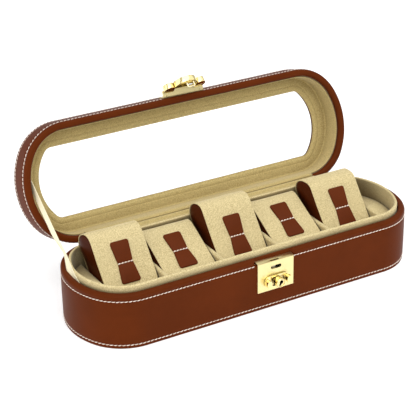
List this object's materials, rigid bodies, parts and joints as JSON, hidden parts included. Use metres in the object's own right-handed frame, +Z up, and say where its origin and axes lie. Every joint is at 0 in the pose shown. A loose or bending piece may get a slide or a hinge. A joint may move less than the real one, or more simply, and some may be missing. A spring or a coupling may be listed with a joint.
{
  "type": "watch box",
  "caption": "Oblong leather watch box with round ends, a hinged windowed lid held by a ribbon, a hasp lock and lift-out watch cushions between velour dividers.",
  "frame": {"origin": "centre of the underside that the box rests on", "axes": "+X along the box to the right as seen from the lock side, +Y to the hinge side, +Z up"},
  "size_m": [0.3408, 0.1877, 0.1718],
  "materials": {
    "saddle_leather": "smooth saddle-brown leather with a low sheen",
    "cheek_leather": "smooth dark brown leather",
    "cream_velour": "short-pile cream velour",
    "board": "plain fibreboard",
    "underside_cloth": "brown felted cloth",
    "saddle_thread": "waxed ivory thread",
    "ribbon": "cream satin ribbon",
    "clear_pane": "clear polished pane",
    "gilt_metal": "polished pale gold plate",
    "lock_steel": "bright zinc-plated steel"
  },
  "bodies": {
    "base": {"base_leather": "saddle_leather", "base_rim_bead": "saddle_leather", "base_shell": "board", "base_stitching": "saddle_thread", "base_underside": "underside_cloth", "divider_1": "cream_velour", "divider_2": "cream_velour", "divider_3": "cream_velour", "divider_4": "cream_velour", "floor_pad": "cream_velour", "hinge_lining": "cream_velour", "hinge_spine": "saddle_leather", "lining_collar": "cream_velour", "lock_barrel": "gilt_metal", "lock_case": "lock_steel", "lock_plate": "gilt_metal", "lock_rivets": "lock_steel", "lock_spring": "lock_steel", "platform_left": "cream_velour", "platform_right": "cream_velour", "ribbon_stay": "ribbon"},
    "lid": {"lid_shell": "board", "lid_leather": "saddle_leather", "lid_top_leather": "saddle_leather", "lid_rim_bead": "saddle_leather", "lid_wall_lining": "cream_velour", "lid_frame_lining": "cream_velour", "window_pane": "clear_pane", "lid_stitching": "saddle_thread", "hasp_bracket": "gilt_metal", "hasp_pin": "gilt_metal", "hasp_spring": "lock_steel", "hasp_rivets": "gilt_metal"},
    "hasp": {"hasp_flap": "gilt_metal", "hasp_staple": "gilt_metal"},
    "slider": {"lock_slider": "gilt_metal"},
    "latch": {"lock_latch": "lock_steel"},
    "plug": {"key_plug": "gilt_metal"},
    "cushion_1": {"cushion_1_roll": "cream_velour", "cushion_1_cheeks": "cheek_leather", "cushion_1_tab": "saddle_leather"},
    "cushion_2": {"cushion_2_roll": "cream_velour", "cushion_2_cheeks": "cheek_leather", "cushion_2_tab": "saddle_leather"},
    "cushion_3": {"cushion_3_roll": "cream_velour", "cushion_3_cheeks": "cheek_leather", "cushion_3_tab": "saddle_leather"},
    "cushion_4": {"cushion_4_roll": "cream_velour", "cushion_4_cheeks": "cheek_leather", "cushion_4_tab": "saddle_leather"},
    "cushion_5": {"cushion_5_roll": "cream_velour", "cushion_5_cheeks": "cheek_leather", "cushion_5_tab": "saddle_leather"}
  },
  "joints": [
    {"name": "lid_hinge", "type": "hinge", "parent": "base", "child": "lid", "pos_m": [0, 0.05676, 0.04694], "axis": [-1, 0, 0], "range_deg": [-108.1, 0], "deforming": ["hinge_spine", "hinge_lining", "ribbon_stay"]},
    {"name": "hasp_hinge", "type": "hinge", "parent": "lid", "child": "hasp", "pos_m": [0.0016, 0.10516, 0.15522], "axis": [-1, 0, 0], "range_deg": [-30, 75], "stiffness_Nm_per_rad": 0.03, "springref_deg": 1.15},
    {"name": "lock_slide", "type": "slide", "parent": "base", "child": "slider", "axis": [1, 0, 0], "range_m": [0, 0.003], "stiffness_N_per_m": 200, "springref_m": -0.002, "deforming": ["lock_spring"]},
    {"name": "latch_drop", "type": "slide", "parent": "base", "child": "latch", "axis": [0, 0, 1], "range_m": [-0.003, 0]},
    {"name": "key_turn", "type": "hinge", "parent": "base", "child": "plug", "pos_m": [0.0042, -0.0647, 0.0277], "axis": [0, -1, 0], "range_deg": [0, 90]},
    {"name": "cushion_1_lift", "type": "slide", "parent": "base", "child": "cushion_1", "axis": [0, 0, 1], "range_m": [0, 0.11]},
    {"name": "cushion_2_lift", "type": "slide", "parent": "base", "child": "cushion_2", "axis": [0, 0, 1], "range_m": [0, 0.11]},
    {"name": "cushion_3_lift", "type": "slide", "parent": "base", "child": "cushion_3", "axis": [0, 0, 1], "range_m": [0, 0.11]},
    {"name": "cushion_4_lift", "type": "slide", "parent": "base", "child": "cushion_4", "axis": [0, 0, 1], "range_m": [0, 0.11]},
    {"name": "cushion_5_lift", "type": "slide", "parent": "base", "child": "cushion_5", "axis": [0, 0, 1], "range_m": [0, 0.11]}
  ],
  "couplings": [
    {"joint": "latch_drop", "follows": "lock_slide", "ratio": -1}
  ]
}
